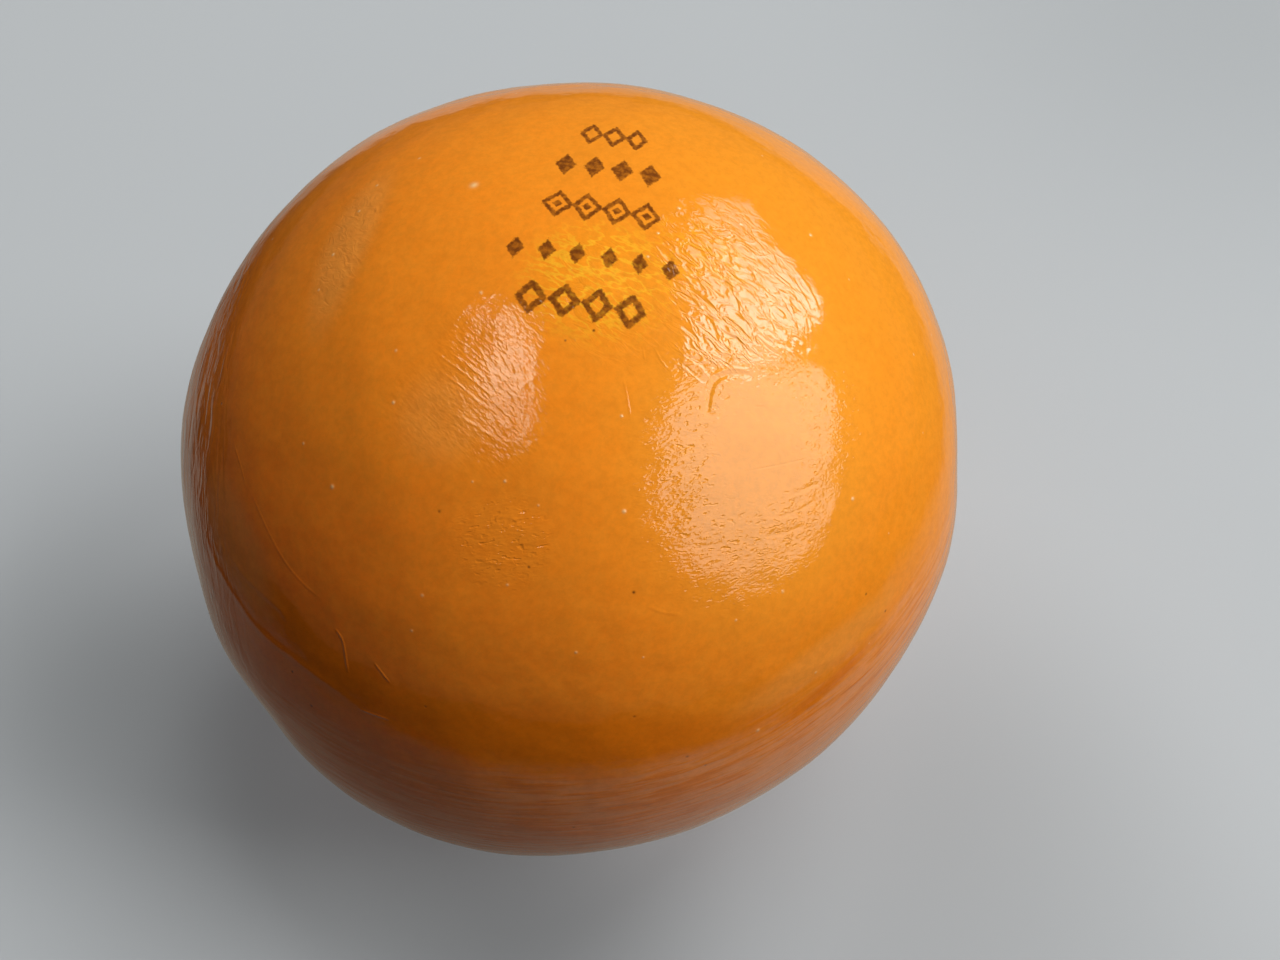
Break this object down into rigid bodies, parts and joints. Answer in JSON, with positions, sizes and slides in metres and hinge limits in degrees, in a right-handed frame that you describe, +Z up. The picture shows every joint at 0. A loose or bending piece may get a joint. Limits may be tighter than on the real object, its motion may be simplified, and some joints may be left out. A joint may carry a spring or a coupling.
{
  "type": "ball of cheese",
  "caption": "Whole ball of semi-hard cheese in a glossy orange coating, slightly oval and a little lower than wide, resting on a small flat spot.",
  "frame": {"origin": "under the middle of the ball, on the surface that it rests on", "axes": "+Z up through the middle of the ball, -Y towards the side that the marked cheese is seen from, +X to the viewer's right"},
  "size_m": [0.1464, 0.1462, 0.1402],
  "materials": {
    "coating": "smooth glossy orange cheese coating, a little cloudy, with fine streaks, dimples and a few creases"
  },
  "bodies": {
    "root": {"cheese_ball": "coating"}
  },
  "joints": []
}
